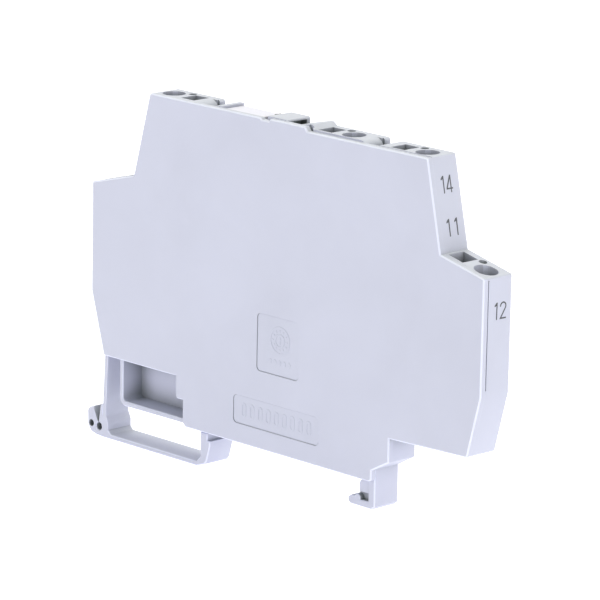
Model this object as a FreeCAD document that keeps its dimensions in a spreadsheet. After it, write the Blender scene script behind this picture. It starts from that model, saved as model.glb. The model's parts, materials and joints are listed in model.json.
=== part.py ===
import FreeCAD, Part
import math
import os

import Sketcher
from FreeCAD import Placement, Rotation, Vector

# Slim interface relay module for a 35 mm top-hat rail.
# Axes: X along the module's length, Y across its 6.2 mm width, Z up from the rail's top face.
# The cover closes the module at -Y; the tray's closed wall is at +Y.
# Working coordinates have X = 0 at the middle of the housing's length. Every piece is then
# shifted along X so that the document origin is the middle of the rail seat.

# Driving dimensions, mm. tool_* is the X of a terminal's tool opening, level_* the height
# of the housing's face there.
SIZES = {
    "half_width": 3.1, "cover_thick": 1.0, "cover_skin": 0.6, "back_skin": 0.9, "back_thin": 0.6,
    "half_length": 45.5, "top_level": 55.0, "top_right": 54.5, "marker_seat": 53.6,
    "step_left": 37.8, "step_right": 37.5, "step_inner_left": 40.5, "step_inner_right": 39.7,
    "wing_low": 8.4, "shoulder_low": 19.0, "rail_mid": 0.5, "side_wall": 0.9,
    "arm_thick": 0.8, "bar_top": -5.65, "bar_low": -6.45,
    "entry_radius": 1.95, "tool_half": 1.55, "tool_deep": 1.7, "entry_pitch": 5.0,
    "probe_radius": 0.7, "probe_pitch": 2.5,
    "tool_a1": -23.7, "tool_14": 8.55, "tool_11": 24.8, "tool_12": 38.0, "tool_a2": -38.0,
    "level_a1": 55.0, "level_14": 54.7, "level_11": 54.5, "level_12": 39.2, "level_a2": 39.8,
    "strip_thick": 0.8, "strip_half": 2.0, "spring_thick": 0.4,
    "cage_half": 2.05, "window_half": 1.55, "neck_half": 1.3,
    "board_low": 30.5, "board_thick": 1.0, "board_half": 2.05, "board_end": 33.0,
    "relay_half": 14.0, "relay_top": 29.8, "relay_tall": 15.0, "relay_side": 2.45,
    "case_wall": 0.3, "marker_len": 8.9, "marker_thick": 1.1,
    "pin_radius": 0.8, "pin_clear": 0.06,
}

doc = FreeCAD.newDocument("relay_module")
sheet = doc.addObject("Spreadsheet::Sheet", "dims")
for row, (alias, size) in enumerate(SIZES.items(), start=1):
    sheet.set("A%d" % row, alias.replace("_", " "))
    sheet.set("B%d" % row, str(size))
    sheet.setAlias("B%d" % row, alias)
doc.recompute()


# ---------------------------------------------------------------- driven lengths
class Dim:
    """A length with its value and the sheet expression that drives it, if any."""

    def __init__(self, value, expression=None):
        self.value = float(value)
        self.expression = expression

    def text(self):
        return self.expression or "(%.5f)" % self.value

    def join(self, symbol, other, value):
        if self.expression is None and other.expression is None:
            return Dim(value)
        return Dim(value, "(%s %s %s)" % (self.text(), symbol, other.text()))

    def __add__(self, other):
        other = lift(other)
        return self.join("+", other, self.value + other.value)

    def __radd__(self, other):
        return lift(other) + self

    def __sub__(self, other):
        other = lift(other)
        return self.join("-", other, self.value - other.value)

    def __rmul__(self, factor):
        return lift(factor).join("*", self, factor * self.value)

    def __neg__(self):
        return Dim(0) - self


def lift(number):
    return number if isinstance(number, Dim) else Dim(number)


def dim(alias):
    return Dim(SIZES[alias], "dims." + alias)


def bind(obj, prop, length):
    if length.expression is not None:
        obj.setExpression(prop, length.text())


# ---------------------------------------------------------------- sketch shapes
# A shape is a list of corner points, a ("circle", x, y, radius) or an ("edges", [edges]).
def rect(x0, x1, y0, y1):
    return [(x0, y0), (x1, y0), (x1, y1), (x0, y1)]


def circle(x, y, radius):
    return ("circle", x, y, radius)


def line(start, end):
    return Part.LineSegment(Vector(*start, 0), Vector(*end, 0))


def arc(start, middle, end):
    return Part.Arc(Vector(*start, 0), Vector(*middle, 0), Vector(*end, 0))


def rounded(x0, x1, y0, y1, r):
    """Rectangle with corner radius r."""
    k = r * (1 - math.sqrt(0.5))
    return ("edges", [
        line((x0 + r, y0), (x1 - r, y0)), arc((x1 - r, y0), (x1 - k, y0 + k), (x1, y0 + r)),
        line((x1, y0 + r), (x1, y1 - r)), arc((x1, y1 - r), (x1 - k, y1 - k), (x1 - r, y1)),
        line((x1 - r, y1), (x0 + r, y1)), arc((x0 + r, y1), (x0 + k, y1 - k), (x0, y1 - r)),
        line((x0, y1 - r), (x0, y0 + r)), arc((x0, y0 + r), (x0 + k, y0 + k), (x0 + r, y0)),
    ])


def shoulder(x, top, radius):
    """Waste outside a block's top edge when it is rounded; the arc starts at (x, top)."""
    z = top.value - radius
    slant = radius * math.sqrt(0.5)
    side, outer, above = x + radius, x + radius + 0.3, z + radius + 0.3
    return ("edges", [
        arc((x, z + radius), (x + slant, z + slant), (side, z)),
        line((side, z), (outer, z)),
        line((outer, z), (outer, above)),
        line((outer, above), (x, above)),
        line((x, above), (x, z + radius)),
    ])


def band(path, thick, radius=0.0):
    """Strip along a centreline of square bends, all with the same centreline radius."""
    points = [Vector(x, y, 0) for x, y in path]
    half = thick / 2.0

    def left_of(direction):
        return Vector(-direction.y, direction.x, 0)

    # Side 1 is the left edge of the strip, side -1 the right.
    edges = {1: [], -1: []}
    heading = (points[1] - points[0]).normalize()
    start = {side: points[0] + left_of(heading) * (side * half) for side in (1, -1)}
    current = dict(start)
    for before, corner, after in zip(points, points[1:], points[2:]):
        heading = (corner - before).normalize()
        leaving = (after - corner).normalize()
        turn = 1 if heading.x * leaving.y - heading.y * leaving.x > 0 else -1
        bend_in = corner - heading * radius
        bend_out = corner + leaving * radius
        centre = bend_in + left_of(heading) * (radius * turn)
        outward = ((bend_in - centre) + (bend_out - centre)).normalize()
        for side in (1, -1):
            arc_in = bend_in + left_of(heading) * (side * half)
            arc_mid = centre + outward * (radius - side * turn * half)
            arc_out = bend_out + left_of(leaving) * (side * half)
            edges[side].append(Part.LineSegment(current[side], arc_in))
            edges[side].append(Part.Arc(arc_in, arc_mid, arc_out))
            current[side] = arc_out
    heading = (points[-1] - points[-2]).normalize()
    for side in (1, -1):
        end = points[-1] + left_of(heading) * (side * half)
        edges[side].append(Part.LineSegment(current[side], end))
        current[side] = end
    caps = [Part.LineSegment(start[1], start[-1]), Part.LineSegment(current[1], current[-1])]
    return ("edges", edges[1] + edges[-1] + caps)


def constrain(sketch, kind, references, length):
    constraint = Sketcher.Constraint(kind, *references, length.value)
    index = sketch.addConstraint(constraint)
    bind(sketch, "Constraints[%d]" % index, length)


def draw_circle(sketch, x, y, radius):
    x, y, radius = lift(x), lift(y), lift(radius)
    curve = Part.Circle(Vector(x.value, y.value, 0), Vector(0, 0, 1), radius.value)
    index = sketch.addGeometry(curve, False)
    constrain(sketch, "DistanceX", (-1, 1, index, 3), x)
    constrain(sketch, "DistanceY", (-1, 1, index, 3), y)
    constrain(sketch, "Radius", (index,), radius)


def draw_polygon(sketch, corners):
    corners = [(lift(x), lift(y)) for x, y in corners]
    following = corners[1:] + corners[:1]
    ids = []
    for (x0, y0), (x1, y1) in zip(corners, following):
        side = line((x0.value, y0.value), (x1.value, y1.value))
        ids.append(sketch.addGeometry(side, False))
    for index, after in zip(ids, ids[1:] + ids[:1]):
        sketch.addConstraint(Sketcher.Constraint("Coincident", index, 2, after, 1))
    for index, (x, y) in zip(ids, corners):
        constrain(sketch, "DistanceX", (-1, 1, index, 1), x)
        constrain(sketch, "DistanceY", (-1, 1, index, 1), y)


def draw(sketch, shapes):
    for shape in shapes:
        if shape[0] == "circle":
            draw_circle(sketch, *shape[1:])
        elif shape[0] == "edges":
            for edge in shape[1]:
                index = sketch.addGeometry(edge, False)
                sketch.addConstraint(Sketcher.Constraint("Block", index))
        else:
            draw_polygon(sketch, shape)


# ---------------------------------------------------------------- pieces
def runs_along(edge, axis, first, second):
    """Whether an edge follows an axis at the two other coordinates, given in XYZ order."""
    if len(edge.Vertexes) != 2:
        return False
    start, end = [vertex.Point for vertex in edge.Vertexes]
    along = "XYZ".index(axis)
    across = [i for i in range(3) if i != along]
    wanted = [lift(first).value, lift(second).value]
    near = all(abs(point[i] - w) < 0.03 for point in (start, end) for i, w in zip(across, wanted))
    return near and abs(start[along] - end[along]) > 0.15


class Piece:
    """One moulded, stamped or turned piece, kept as a PartDesign body."""

    def __init__(self, label):
        self.label = label
        self.volume = 0.0
        self.body = doc.addObject("PartDesign::Body", "b_" + label)
        self.body.Label = label
        self.body.Placement = Placement(Vector(-SIZES["rail_mid"], 0, 0), Rotation())
        self.body.setExpression("Placement.Base.x", "-dims.rail_mid")

    def settle(self, feature, direction):
        """Recompute a feature that must add (1), remove (-1) or just change (0) volume."""
        doc.recompute([feature], True)
        if feature.Shape.isNull() or not feature.Shape.isValid():
            raise SystemExit("%s: %s failed" % (self.label, feature.Name))
        change = feature.Shape.Volume - self.volume
        if (change * direction if direction else abs(change)) <= 1e-9:
            raise SystemExit("%s: %s changed nothing" % (self.label, feature.Name))
        self.volume = feature.Shape.Volume

    def extrude(self, kind, plane, shapes, start, length):
        sketch = self.body.newObject("Sketcher::SketchObject", "Sketch")
        origin = self.body.Origin.OriginFeatures
        base = [item for item in origin if item.Role == plane + "_Plane"][0]
        sketch.AttachmentSupport = (base, [""])
        sketch.MapMode = "FlatFace"
        # The XZ plane's normal points to -Y.
        offset = -start if plane == "XZ" else start
        sketch.AttachmentOffset = Placement(Vector(0, 0, offset.value), Rotation())
        bind(sketch, "AttachmentOffset.Base.z", offset)
        draw(sketch, shapes)
        feature = self.body.newObject("PartDesign::" + kind, kind)
        feature.Profile = sketch
        feature.Length = length.value
        bind(feature, "Length", length)
        return feature

    def pad(self, plane, shapes, low, high):
        low, high = lift(low), lift(high)
        start = high if plane == "XZ" else low
        self.settle(self.extrude("Pad", plane, shapes, start, high - low), 1)

    def cut(self, plane, shapes, low, high):
        low, high = lift(low), lift(high)
        start = low if plane == "XZ" else high
        self.settle(self.extrude("Pocket", plane, shapes, start, high - low), -1)

    def dress(self, kind, prop, size, chosen, direction):
        """Fillet or chamfer the edges of the tip that the function chosen accepts."""
        tip = self.body.Tip
        edges = enumerate(tip.Shape.Edges, start=1)
        names = ["Edge%d" % i for i, edge in edges if chosen(edge)]
        if not names:
            raise SystemExit("%s: no edge found for a %s of %s" % (self.label, kind, size))
        feature = self.body.newObject("PartDesign::" + kind, kind)
        feature.Base = (tip, names)
        setattr(feature, prop, size)
        self.settle(feature, direction)

    def soften(self, radius, *corners):
        """Round straight edges, each given as axis letter and the two other coordinates."""
        def chosen(edge):
            return any(runs_along(edge, *corner) for corner in corners)

        self.dress("Fillet", "Radius", radius, chosen, 0)

    def rim(self, level, size, boxes=None, skip=()):
        """Chamfer the edges of the faces in the plane Y = level.

        Without boxes only outer outlines are taken. boxes and skip are (x0, x1, z0, z1)
        ranges for the middle of an edge.
        """
        picked = []
        for face in self.body.Tip.Shape.Faces:
            if not isinstance(face.Surface, Part.Plane):
                continue
            faces_y = abs(abs(face.Surface.Axis.y) - 1) <= 1e-6
            if faces_y and abs(face.CenterOfMass.y - level.value) <= 1e-4:
                picked += face.OuterWire.Edges if boxes is None else face.Edges

        def inside(point, ranges):
            return any(x0 <= point.x <= x1 and z0 <= point.z <= z1 for x0, x1, z0, z1 in ranges)

        def chosen(edge):
            middle = edge.valueAt((edge.FirstParameter + edge.LastParameter) / 2.0)
            wanted = boxes is None or inside(middle, boxes)
            return wanted and not inside(middle, skip) and any(edge.isSame(e) for e in picked)

        self.dress("Chamfer", "Size", size, chosen, -1)


def narrow(piece, x, reach, inner, outer, z_low, z_high):
    """Trim a strip near X = x to half width inner, first on the +Y and then the -Y side."""
    for y_low, y_high in ((inner, outer), (-outer, -inner)):
        piece.cut("YZ", [rect(y_low, y_high, z_low, z_high)], x - reach, x + reach)


# ---------------------------------------------------------------- shared places
half_width, half_length = dim("half_width"), dim("half_length")
top_level, top_right = dim("top_level"), dim("top_right")
marker_seat, wing_low, shoulder_low = dim("marker_seat"), dim("wing_low"), dim("shoulder_low")
step_left, step_right = dim("step_left"), dim("step_right")
inner_left, inner_right = dim("step_inner_left"), dim("step_inner_right")
strip_half = dim("strip_half")
board_low = dim("board_low")
board_top = board_low + dim("board_thick")
pin_radius, probe_radius = dim("pin_radius"), dim("probe_radius")

seam = -half_width + dim("cover_thick")     # Y of the plane where the cover meets the tray
back_in = half_width - dim("back_skin")     # Y of the inner face of the tray's closed wall
wall_x = half_length - dim("side_wall")     # X of the inner face of the end walls

HIGH_ROOF = 49.4            # chamber ceilings under the top face and the two end steps
RIGHT_ROOF, LEFT_ROOF = 33.4, 33.9
PROBE_Y = 1.85
LIGHT_X = -5.25             # light guide and status lamp
JUMPER_X = -1.35
PEGS = [(-39.5, 13.2), (39.5, 13.2), (-27.5, 12.6), (27.5, 12.6)]      # X, Z
RELAY_RELIEF = rect(-14.3, 14.3, 14.75, 30.3)


class Terminal:
    """Places of one clamp; side is the X direction from tool opening to wire entry."""

    def __init__(self, name, side, roof):
        self.name, self.side, self.roof = name, side, roof
        self.tool_x = dim("tool_" + name)
        self.level = dim("level_" + name)
        self.entry_x = self.tool_x + side * dim("entry_pitch")
        self.probe_x = self.tool_x + side * dim("probe_pitch")
        self.bar_x = self.tool_x.value + side * 2.7
        # Centreline of the current bar, X and Z: straight down, or up again as a U.
        self.path = [(self.bar_x, roof - 0.2)]
        if roof == HIGH_ROOF:
            self.path += [(self.bar_x, 30.2)]
        else:
            self.path += [(self.bar_x, 18.9), (side * 31.4, 18.9), (side * 31.4, 32.2)]
        self.tail_x = self.path[-1][0]

    def local(self, along, rise):
        """Point from the tool opening's middle at face level, along towards the entry."""
        return (self.tool_x.value + self.side * along, self.level.value + rise)


TERMINALS = [
    Terminal("a1", -1, HIGH_ROOF), Terminal("14", 1, HIGH_ROOF), Terminal("11", 1, HIGH_ROOF),
    Terminal("12", 1, RIGHT_ROOF), Terminal("a2", -1, LEFT_ROOF),
]

# ---------------------------------------------------------------- tray
# Outline, X and Z: anticlockwise from the left wing, with the fixed rail hook near X = 20.
TRAY_OUTLINE = [
    (-42.9, wing_low), (-39.25, wing_low), (-39.25, 0.1), (-16.75, 0.2), (-16.55, 0.0),
    (18.25, 0.0), (18.45, 0.2), (20.5, 0.2), (20.5, -3.7), (18.75, -3.75), (18.65, -3.2),
    (18.3, -2.92), (17.9, -2.92), (17.45, -3.35), (16.5, -3.42), (15.95, -3.8),
    (15.95, -4.45), (16.4, -4.85), (21.3, -4.85), (22.0, -4.3), (22.0, 1.9),
    (25.6, 3.95), (25.6, wing_low - 0.3), (42.9, wing_low + 0.1),
    (half_length, shoulder_low - 0.3), (half_length, step_right),
    (36.0, inner_right), (32.7, top_right), (21.3, top_right), (20.7, top_right - 1.7),
    (18.5, top_right - 1.7), (18.5, top_right + 0.2), (6.6, top_right + 0.2),
    (5.7, top_level + 0.3), (5.1, top_level + 0.3), (1.0, top_level - 0.65),
    (0.3, top_level - 1.7), (0.3, top_level + 0.25), (-4.1, top_level + 0.25),
    (-4.1, marker_seat), (-15.2, marker_seat), (-15.2, top_level + 0.1),
    (-16.2, top_level + 0.1), (-16.2, top_level - 1.9), (-19.7, top_level - 1.9),
    (-19.7, top_level), (-31.4, top_level), (-35.2, inner_left),
    (-half_length, step_left), (-half_length, shoulder_low),
]
CAVITY = [  # X, Z
    (-21.4, 1.1), (19.6, 1.1), (24.5, 4.5), (24.5, 9.3), (41.8, 9.7), (wall_x, 18.9),
    (wall_x, RIGHT_ROOF), (34.9, RIGHT_ROOF), (34.9, 39.5), (32.75, HIGH_ROOF),
    (-4.2, HIGH_ROOF), (-4.2, 52.4), (-17.6, 52.4), (-17.6, HIGH_ROOF), (-31.9, HIGH_ROOF),
    (-34.1, 40.3), (-34.1, LEFT_ROOF), (-wall_x, LEFT_ROOF), (-wall_x, 19.2),
    (-41.9, 9.5), (-21.4, 9.5),
]
LOWER_POCKET = [(-38.4, 1.0), (-22.6, 0.95), (-22.6, wing_low), (-38.4, wing_low)]
PARTITIONS = [  # X range, Z range
    (-18.6, -17.6, 35.0, 49.9), (5.2, 6.0, 35.0, 49.9), (20.0, 20.8, 36.0, 49.9),
    (34.1, 34.9, 21.0, 39.6), (-34.1, -33.3, 21.0, 40.4),
    (-10.4, -9.6, 1.0, 14.7), (9.6, 10.4, 1.0, 14.7),
]
RAIL_STOP = [
    (19.3, 0.7), (19.2, -0.25), (18.75, -0.45), (18.45, -0.75), (18.35, -1.1),
    (18.35, -2.4), (20.6, -2.4), (20.6, 0.7),
]

tray = Piece("housing_shell")
tray.pad("XZ", [TRAY_OUTLINE], seam, half_width)
tray.soften(1.5, ("Y", -39.25, 0.1))
tray.soften(0.55, ("Y", -19.7, top_level), ("Y", 18.5, top_right + 0.2))
tray.soften(0.35, ("Y", 0.3, top_level + 0.25))
tray.soften(0.5, ("Y", -42.9, wing_low), ("Y", 42.9, wing_low + 0.1))
tray.soften(
    0.35, ("Y", half_length, step_right), ("Y", -half_length, step_left),
    ("Y", 32.7, top_right), ("Y", -31.4, top_level),
)
tray.cut("XZ", [CAVITY, LOWER_POCKET], seam, back_in)
tray.soften(0.7, ("Y", -38.4, 1.0))
# chamber walls, then the two ledges under the board's ends
tray.pad("XZ", [rect(*wall) for wall in PARTITIONS], seam, back_in + 0.05)
ledges = [rect(x0, x1, 29.2, board_low - 0.03) for x0, x1 in ((32.3, 34.3), (-33.5, -32.3))]
tray.pad("XZ", ledges, seam + 0.4, back_in + 0.05)
# relief in the closed wall beside the relay
tray.cut("XZ", [RELAY_RELIEF], back_in - 0.2, half_width - dim("back_thin"))
# bosses that take the cover's pegs
tray.pad("XZ", [circle(x, z, 1.6) for x, z in PEGS], seam + 0.3, back_in + 0.05)
peg_holes = [circle(x, z, pin_radius + dim("pin_clear")) for x, z in PEGS]
tray.cut("XZ", peg_holes, seam, back_in)
# tool slot, wire entry and test-probe hole above each clamp
tool_half, tool_deep = dim("tool_half"), dim("tool_deep")
for term in TERMINALS:
    above = term.level + 3.0
    slot = rect(term.tool_x - tool_half, term.tool_x + tool_half, -tool_deep, tool_deep)
    tray.cut("XY", [slot], term.level - 8.0, above)
    entry = circle(term.entry_x, -0.05, dim("entry_radius"))
    tray.cut("XY", [entry], term.roof - 0.05, above)
    tray.cut("XY", [circle(term.probe_x, PROBE_Y, probe_radius)], term.level - 6.2, above)
# middle jumper slot
tray.cut("XY", [rect(-1.7, -0.95, -1.4, 1.55)], 49.0, 54.0)
# rounded block edges facing the outer jumper slots
slot_edges = [shoulder(-21.2, top_level, 1.5), shoulder(17.0, top_right + 0.2, 1.5)]
tray.cut("XZ", slot_edges, seam - 0.1, 1.55)
# the middle jumper slot opens sideways under a thin roof
tray.cut("XZ", [rect(-1.15, 0.6, 53.35, 54.85)], seam - 0.1, 2.35)
# slits that key the bridging comb, beside the lip on the +Y side of the outer slots
tray.cut("XY", [rect(x, x + 0.75, 1.55, 1.9) for x in (-20.15, 18.05)], 53.2, 57.0)
# opening for the light guide and its clearance beside the marker channel
tray.cut("XY", [rect(LIGHT_X - 0.8, LIGHT_X + 0.8, -1.7, 2.6)], 52.0, 57.0)
# relief between the ramp and the cover's step
ramp_relief = [(5.25, 55.0), (5.85, 54.1), (6.45, 54.1), (6.1, 55.5), (5.25, 55.5)]
tray.cut("XZ", [ramp_relief], seam - 0.1, seam + 0.45)
# seam groove down the +X end face
groove = rect(half_length - 0.2, half_length + 0.2, 19.6, 37.1)
tray.cut("XZ", [groove], seam - 0.1, seam + 0.2)
# rail stop inside the fixed hook
tray.pad("XZ", [RAIL_STOP], seam + 0.25, half_width)
tray.pad("XZ", [rect(17.75, 20.6, -3.9, -2.3)], seam + 1.0, half_width)
# broken edges of the -Y side where the cover leaves it open
tray.rim(seam, 0.18, boxes=[(-39.6, -22.7, -0.2, 8.35), (15.9, 22.3, -5.0, 0.15)])

# ---------------------------------------------------------------- cover
COVER_OUTLINE = [  # X, Z
    (-22.5, 0.7), (-21.8, 0.0), (21.5, 0.0), (22.05, 0.35), (22.1, 1.95), (25.85, 4.0),
    (25.85, 7.95), (42.9, wing_low + 0.1), (half_length, shoulder_low - 0.3),
    (half_length, step_right - 0.02), (36.0, inner_right - 0.03), (32.75, top_right - 0.1),
    (5.95, top_right - 0.1), (5.35, top_level + 0.1), (-2.65, top_level + 0.1),
    (-2.9, top_level - 0.3), (-4.6, top_level - 0.3), (-4.9, top_level), (-31.4, top_level),
    (-35.2, inner_left), (-half_length, step_left), (-half_length, shoulder_low + 0.1),
    (-42.3, wing_low - 0.1), (-24.2, wing_low - 0.1), (-24.2, 4.5), (-22.5, 4.5),
]
LABEL_DEEP = 0.12

cover = Piece("side_cover")
cover.pad("XZ", [COVER_OUTLINE], -half_width, seam)
cover.soften(0.4, ("Y", -24.2, 4.5))
cover.soften(0.5, ("Y", 42.9, wing_low + 0.1))
cover.soften(0.35, ("Y", 32.75, top_right - 0.1), ("Y", -31.4, top_level))
cover.cut("XZ", [RELAY_RELIEF], -half_width + dim("cover_skin"), seam)
# two shallow label fields on the outside
for field in ((-4.75, 5.1, 13.15, 22.85), (-10.1, 10.0, 3.35, 8.15)):
    cover.cut("XZ", [rounded(*field, 0.8)], -half_width, -half_width + LABEL_DEEP)
cover.pad("XZ", [circle(x, z, pin_radius) for x, z in PEGS], seam - 0.1, back_in - 0.4)
cover.rim(-half_width, 0.22)

# ---------------------------------------------------------------- foot
bar_top, bar_low = dim("bar_top"), dim("bar_low")
FOOT_OUTLINE = [  # X, Z: bar, rail nose with lead-in, lug with V notch
    (-43.45, -2.6), (-42.65, -2.6), (-42.1, -3.7), (-42.1, -5.05), (-41.5, bar_top),
    (-20.0, bar_top), (-19.05, -4.7), (-19.05, -0.45), (-17.35, -0.45), (-17.35, -1.65),
    (-16.7, -1.65), (-16.7, -2.4), (-17.5, -5.2), (-17.95, -5.75), (-19.9, bar_low),
    (-43.6, bar_low), (-45.1, -6.35), (-46.5, -6.0), (-47.3, -4.9),
    (-47.4, -2.4), (-46.9, -1.8), (-45.85, -1.5), (-44.62, -4.1), (-44.45, -4.1),
    (-43.95, -0.9), (-43.5, -0.7),
]

foot = Piece("snap_foot")
foot.pad("XZ", [FOOT_OUTLINE], seam, half_width)
foot.soften(0.6, ("Y", -41.5, bar_top))
foot.soften(0.8, ("Y", -47.3, -4.9))
foot.soften(0.3, ("Y", -46.9, -1.8))
foot.cut("XZ", [circle(-46.3, -4.5, 0.6), circle(-44.45, -4.75, 0.66)], seam, half_width)
# the V notch keeps its sharp edges
foot.rim(seam, 0.18, skip=[(-45.4, -44.0, -4.2, -2.0)])

# The arm rises from the foot to the left wing, leaning slightly towards +X.
arm_thick, arm_top = dim("arm_thick"), wing_low - 0.02
arm_left = [(-43.0, arm_top), (-43.45, -0.7), (-43.45, -2.58)]
arm_right = [(x + arm_thick, z) for x, z in reversed(arm_left)]
arm = Piece("foot_flex_arm")
arm.pad("XZ", [arm_left + arm_right], seam, half_width)

# ---------------------------------------------------------------- marker and light guide
marker_left = -15.1
marker_right = marker_left + dim("marker_len")
marker_top = marker_seat + dim("marker_thick")
marker_y = (-1.9, 2.9)
marker = Piece("marker_strip")
marker.pad("XZ", [rect(marker_left, marker_right, marker_seat + 0.03, marker_top)], *marker_y)
marker.soften(
    0.2, ("Y", marker_left, marker_top), ("Y", marker_right, marker_top),
    ("X", marker_y[0], marker_top), ("X", marker_y[1], marker_top),
)

GUIDE_TOP = 54.9
guide = Piece("light_pipe")
guide.pad("XY", [rect(LIGHT_X - 0.6, LIGHT_X + 0.6, 0.95, 2.15)], 35.0, 54.0)
guide.pad("XY", [rect(LIGHT_X - 0.6, LIGHT_X + 0.6, 0.95, 2.55)], 53.0, GUIDE_TOP)
guide.soften(0.25, ("X", 0.95, GUIDE_TOP), ("X", 2.55, GUIDE_TOP))

# ---------------------------------------------------------------- terminals
JUMPER_ARMS = {"a1": -21.1, "14": 17.0}     # X of the blade under the jumper slot
JUMPER_THICK, JUMPER_HALF, TAIL_HALF = 0.6, 1.2, 0.6
SPRING_PATH = [(2.05, -13.6), (2.05, -6.3), (-1.3, -6.3), (-1.3, -8.6)]    # along, rise
CAGE_PATH = [(-1.3, -8.75), (-1.3, -15.0), (4.3, -15.0)]
spring_thick, cage_half, window_half = dim("spring_thick"), dim("cage_half"), dim("window_half")


def build_bar(term):
    bar = Piece("contact_bar_" + term.name)
    strip = band(term.path, SIZES["strip_thick"], 1.0)
    bar.pad("XZ", [strip], -strip_half, strip_half)
    if term.name in JUMPER_ARMS:
        blade_x = JUMPER_ARMS[term.name]
        path = [(term.bar_x, 36.2), (blade_x, 36.2), (blade_x, 49.3)]
        bar.pad("XZ", [band(path, JUMPER_THICK, 1.2)], -JUMPER_HALF, JUMPER_HALF)
    # neck where the cage's window passes round the bar, and solder tail through the board
    outer = strip_half + 0.5
    level = term.level
    narrow(bar, term.bar_x, 1.0, dim("neck_half"), outer, level - 17.2, level - 9.0)
    narrow(bar, term.tail_x, 0.6, TAIL_HALF, outer, board_low - 1.0, board_top + 1.2)


def build_clamp(term):
    spring = Piece("clamp_spring_" + term.name)
    path = [term.local(*point) for point in SPRING_PATH]
    strip = band(path, spring_thick.value, 1.3)
    spring.pad("XZ", [strip], -strip_half + 0.1, strip_half - 0.1)

    cage = Piece("clamp_cage_" + term.name)
    path = [term.local(*point) for point in CAGE_PATH]
    cage.pad("XZ", [band(path, spring_thick.value, 1.0)], -cage_half, cage_half)
    low, high = sorted(term.local(along, 0)[0] for along in (-0.3, 3.75))
    window = rect(low, high, -window_half, window_half)
    cage.cut("XY", [window], term.level - 15.4, term.level - 14.6)


for term in TERMINALS:
    build_bar(term)
    build_clamp(term)

# short metal tubes that a test probe meets, one in each probe hole
probes = Piece("test_sockets")
for term in TERMINALS:
    tube = circle(term.probe_x, PROBE_Y, probe_radius - 0.02)
    bore = circle(term.probe_x, PROBE_Y, probe_radius - 0.24)
    probes.pad("XY", [tube], term.level - 5.0, term.level - 1.1)
    probes.cut("XY", [bore], term.level - 5.1, term.level - 1.0)

jumper = Piece("jumper_contact")
jumper_strip = band([(JUMPER_X, 49.6), (JUMPER_X, 30.2)], JUMPER_THICK)
jumper.pad("XZ", [jumper_strip], -JUMPER_HALF, JUMPER_HALF)
narrow(jumper, JUMPER_X, 0.6, TAIL_HALF, 1.6, 29.5, 32.6)

# ---------------------------------------------------------------- board and its components
TAILS = [term.tail_x for term in TERMINALS] + [JUMPER_X]    # X of the soldered tails
COIL_PINS = [-12.2, -8.4]                                   # X of the relay's pins
NO_X, COMMON_X, NC_X = CONTACT_PINS = [4.6, 8.4, 12.2]
board_end, board_half = dim("board_end"), dim("board_half")

board = Piece("circuit_board")
board.pad("XY", [rect(-board_end, board_end, -board_half, board_half)], board_low, board_top)
tail_slots = [rect(x - 0.5, x + 0.5, -0.72, 0.72) for x in TAILS]
board.cut("XY", tail_slots, board_low - 0.5, board_top + 0.5)
pin_holes = [circle(x, 0.0, 0.42) for x in COIL_PINS + CONTACT_PINS]
board.cut("XY", pin_holes, board_low - 0.5, board_top + 0.5)

solder_face = board_top + 0.02      # underside of the surface-mounted parts
led_top = board_top + 1.1
led = Piece("status_led")
led.pad("XY", [rect(LIGHT_X - 0.8, LIGHT_X + 0.8, 0.35, 1.95)], solder_face, led_top)
led.pad("XY", [circle(LIGHT_X, 1.2, 0.65)], board_top + 1.0, board_top + 2.1)
led.soften(0.12, ("X", 0.35, led_top), ("X", 1.95, led_top))

chip_top = board_top + 0.55
led_resistor = Piece("led_resistor")
led_resistor.pad("XY", [rect(-11.4, -9.4, -0.6, 0.65)], solder_face, chip_top)
led_resistor.soften(0.1, ("Y", -11.4, chip_top), ("Y", -9.4, chip_top))

bridge_top = board_top + 2.4
bridge = Piece("bridge_rectifier")
bridge.pad("XY", [rect(-17.6, -12.9, -1.5, 1.5)], board_top + 0.25, bridge_top)
for x_low, x_high in ((-16.9, -16.3), (-14.2, -13.6)):
    bridge.pad("YZ", [rect(-1.9, 1.9, solder_face, board_top + 0.9)], x_low, x_high)
bridge.soften(0.25, ("X", -1.5, bridge_top), ("X", 1.5, bridge_top))

input_resistor = Piece("input_resistor")
for radius, x_low, x_high in ((1.0, -24.6, -19.6), (1.18, -24.7, -23.6), (1.18, -20.6, -19.5)):
    input_resistor.pad("YZ", [circle(0.0, board_top + 1.35, radius)], x_low, x_high)

diode = Piece("suppressor_diode")
diode.pad("YZ", [circle(0.0, board_top + 0.85, 0.75)], 19.0, 22.6)

capacitor = Piece("smoothing_capacitor")
capacitor.pad("XY", [circle(1.9, 0.0, 1.85)], board_top + 0.05, board_top + 6.3)

joints = Piece("solder_joints")
for x in TAILS:
    fillet = rounded(x - 0.66, x + 0.66, -0.98, 0.98, 0.3)
    joints.pad("XY", [fillet], board_top + 0.01, board_top + 0.35)
    hole = rect(x - 0.42, x + 0.42, -0.62, 0.62)
    joints.cut("XY", [hole], board_top - 0.5, board_top + 0.6)

# ---------------------------------------------------------------- relay housing, under the board
relay_top, relay_half, relay_side = dim("relay_top"), dim("relay_half"), dim("relay_side")
relay_low = relay_top - dim("relay_tall")
case_wall = dim("case_wall")


def relay_rect(inset_x, inset_y):
    x, y = relay_half - inset_x, relay_side - inset_y
    return rect(-x, x, -y, y)


base = Piece("relay_base")
base.pad("XY", [relay_rect(0.35, 0.35)], relay_top - 2.0, relay_top - 0.05)
pin_slots = [rect(x - 0.42, x + 0.42, -0.42, 0.42) for x in COIL_PINS]
pin_slots += [rect(x - 0.27, x + 0.27, -1.25, 1.25) for x in CONTACT_PINS]
base.cut("XY", pin_slots, relay_top - 2.5, relay_top + 0.5)

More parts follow.
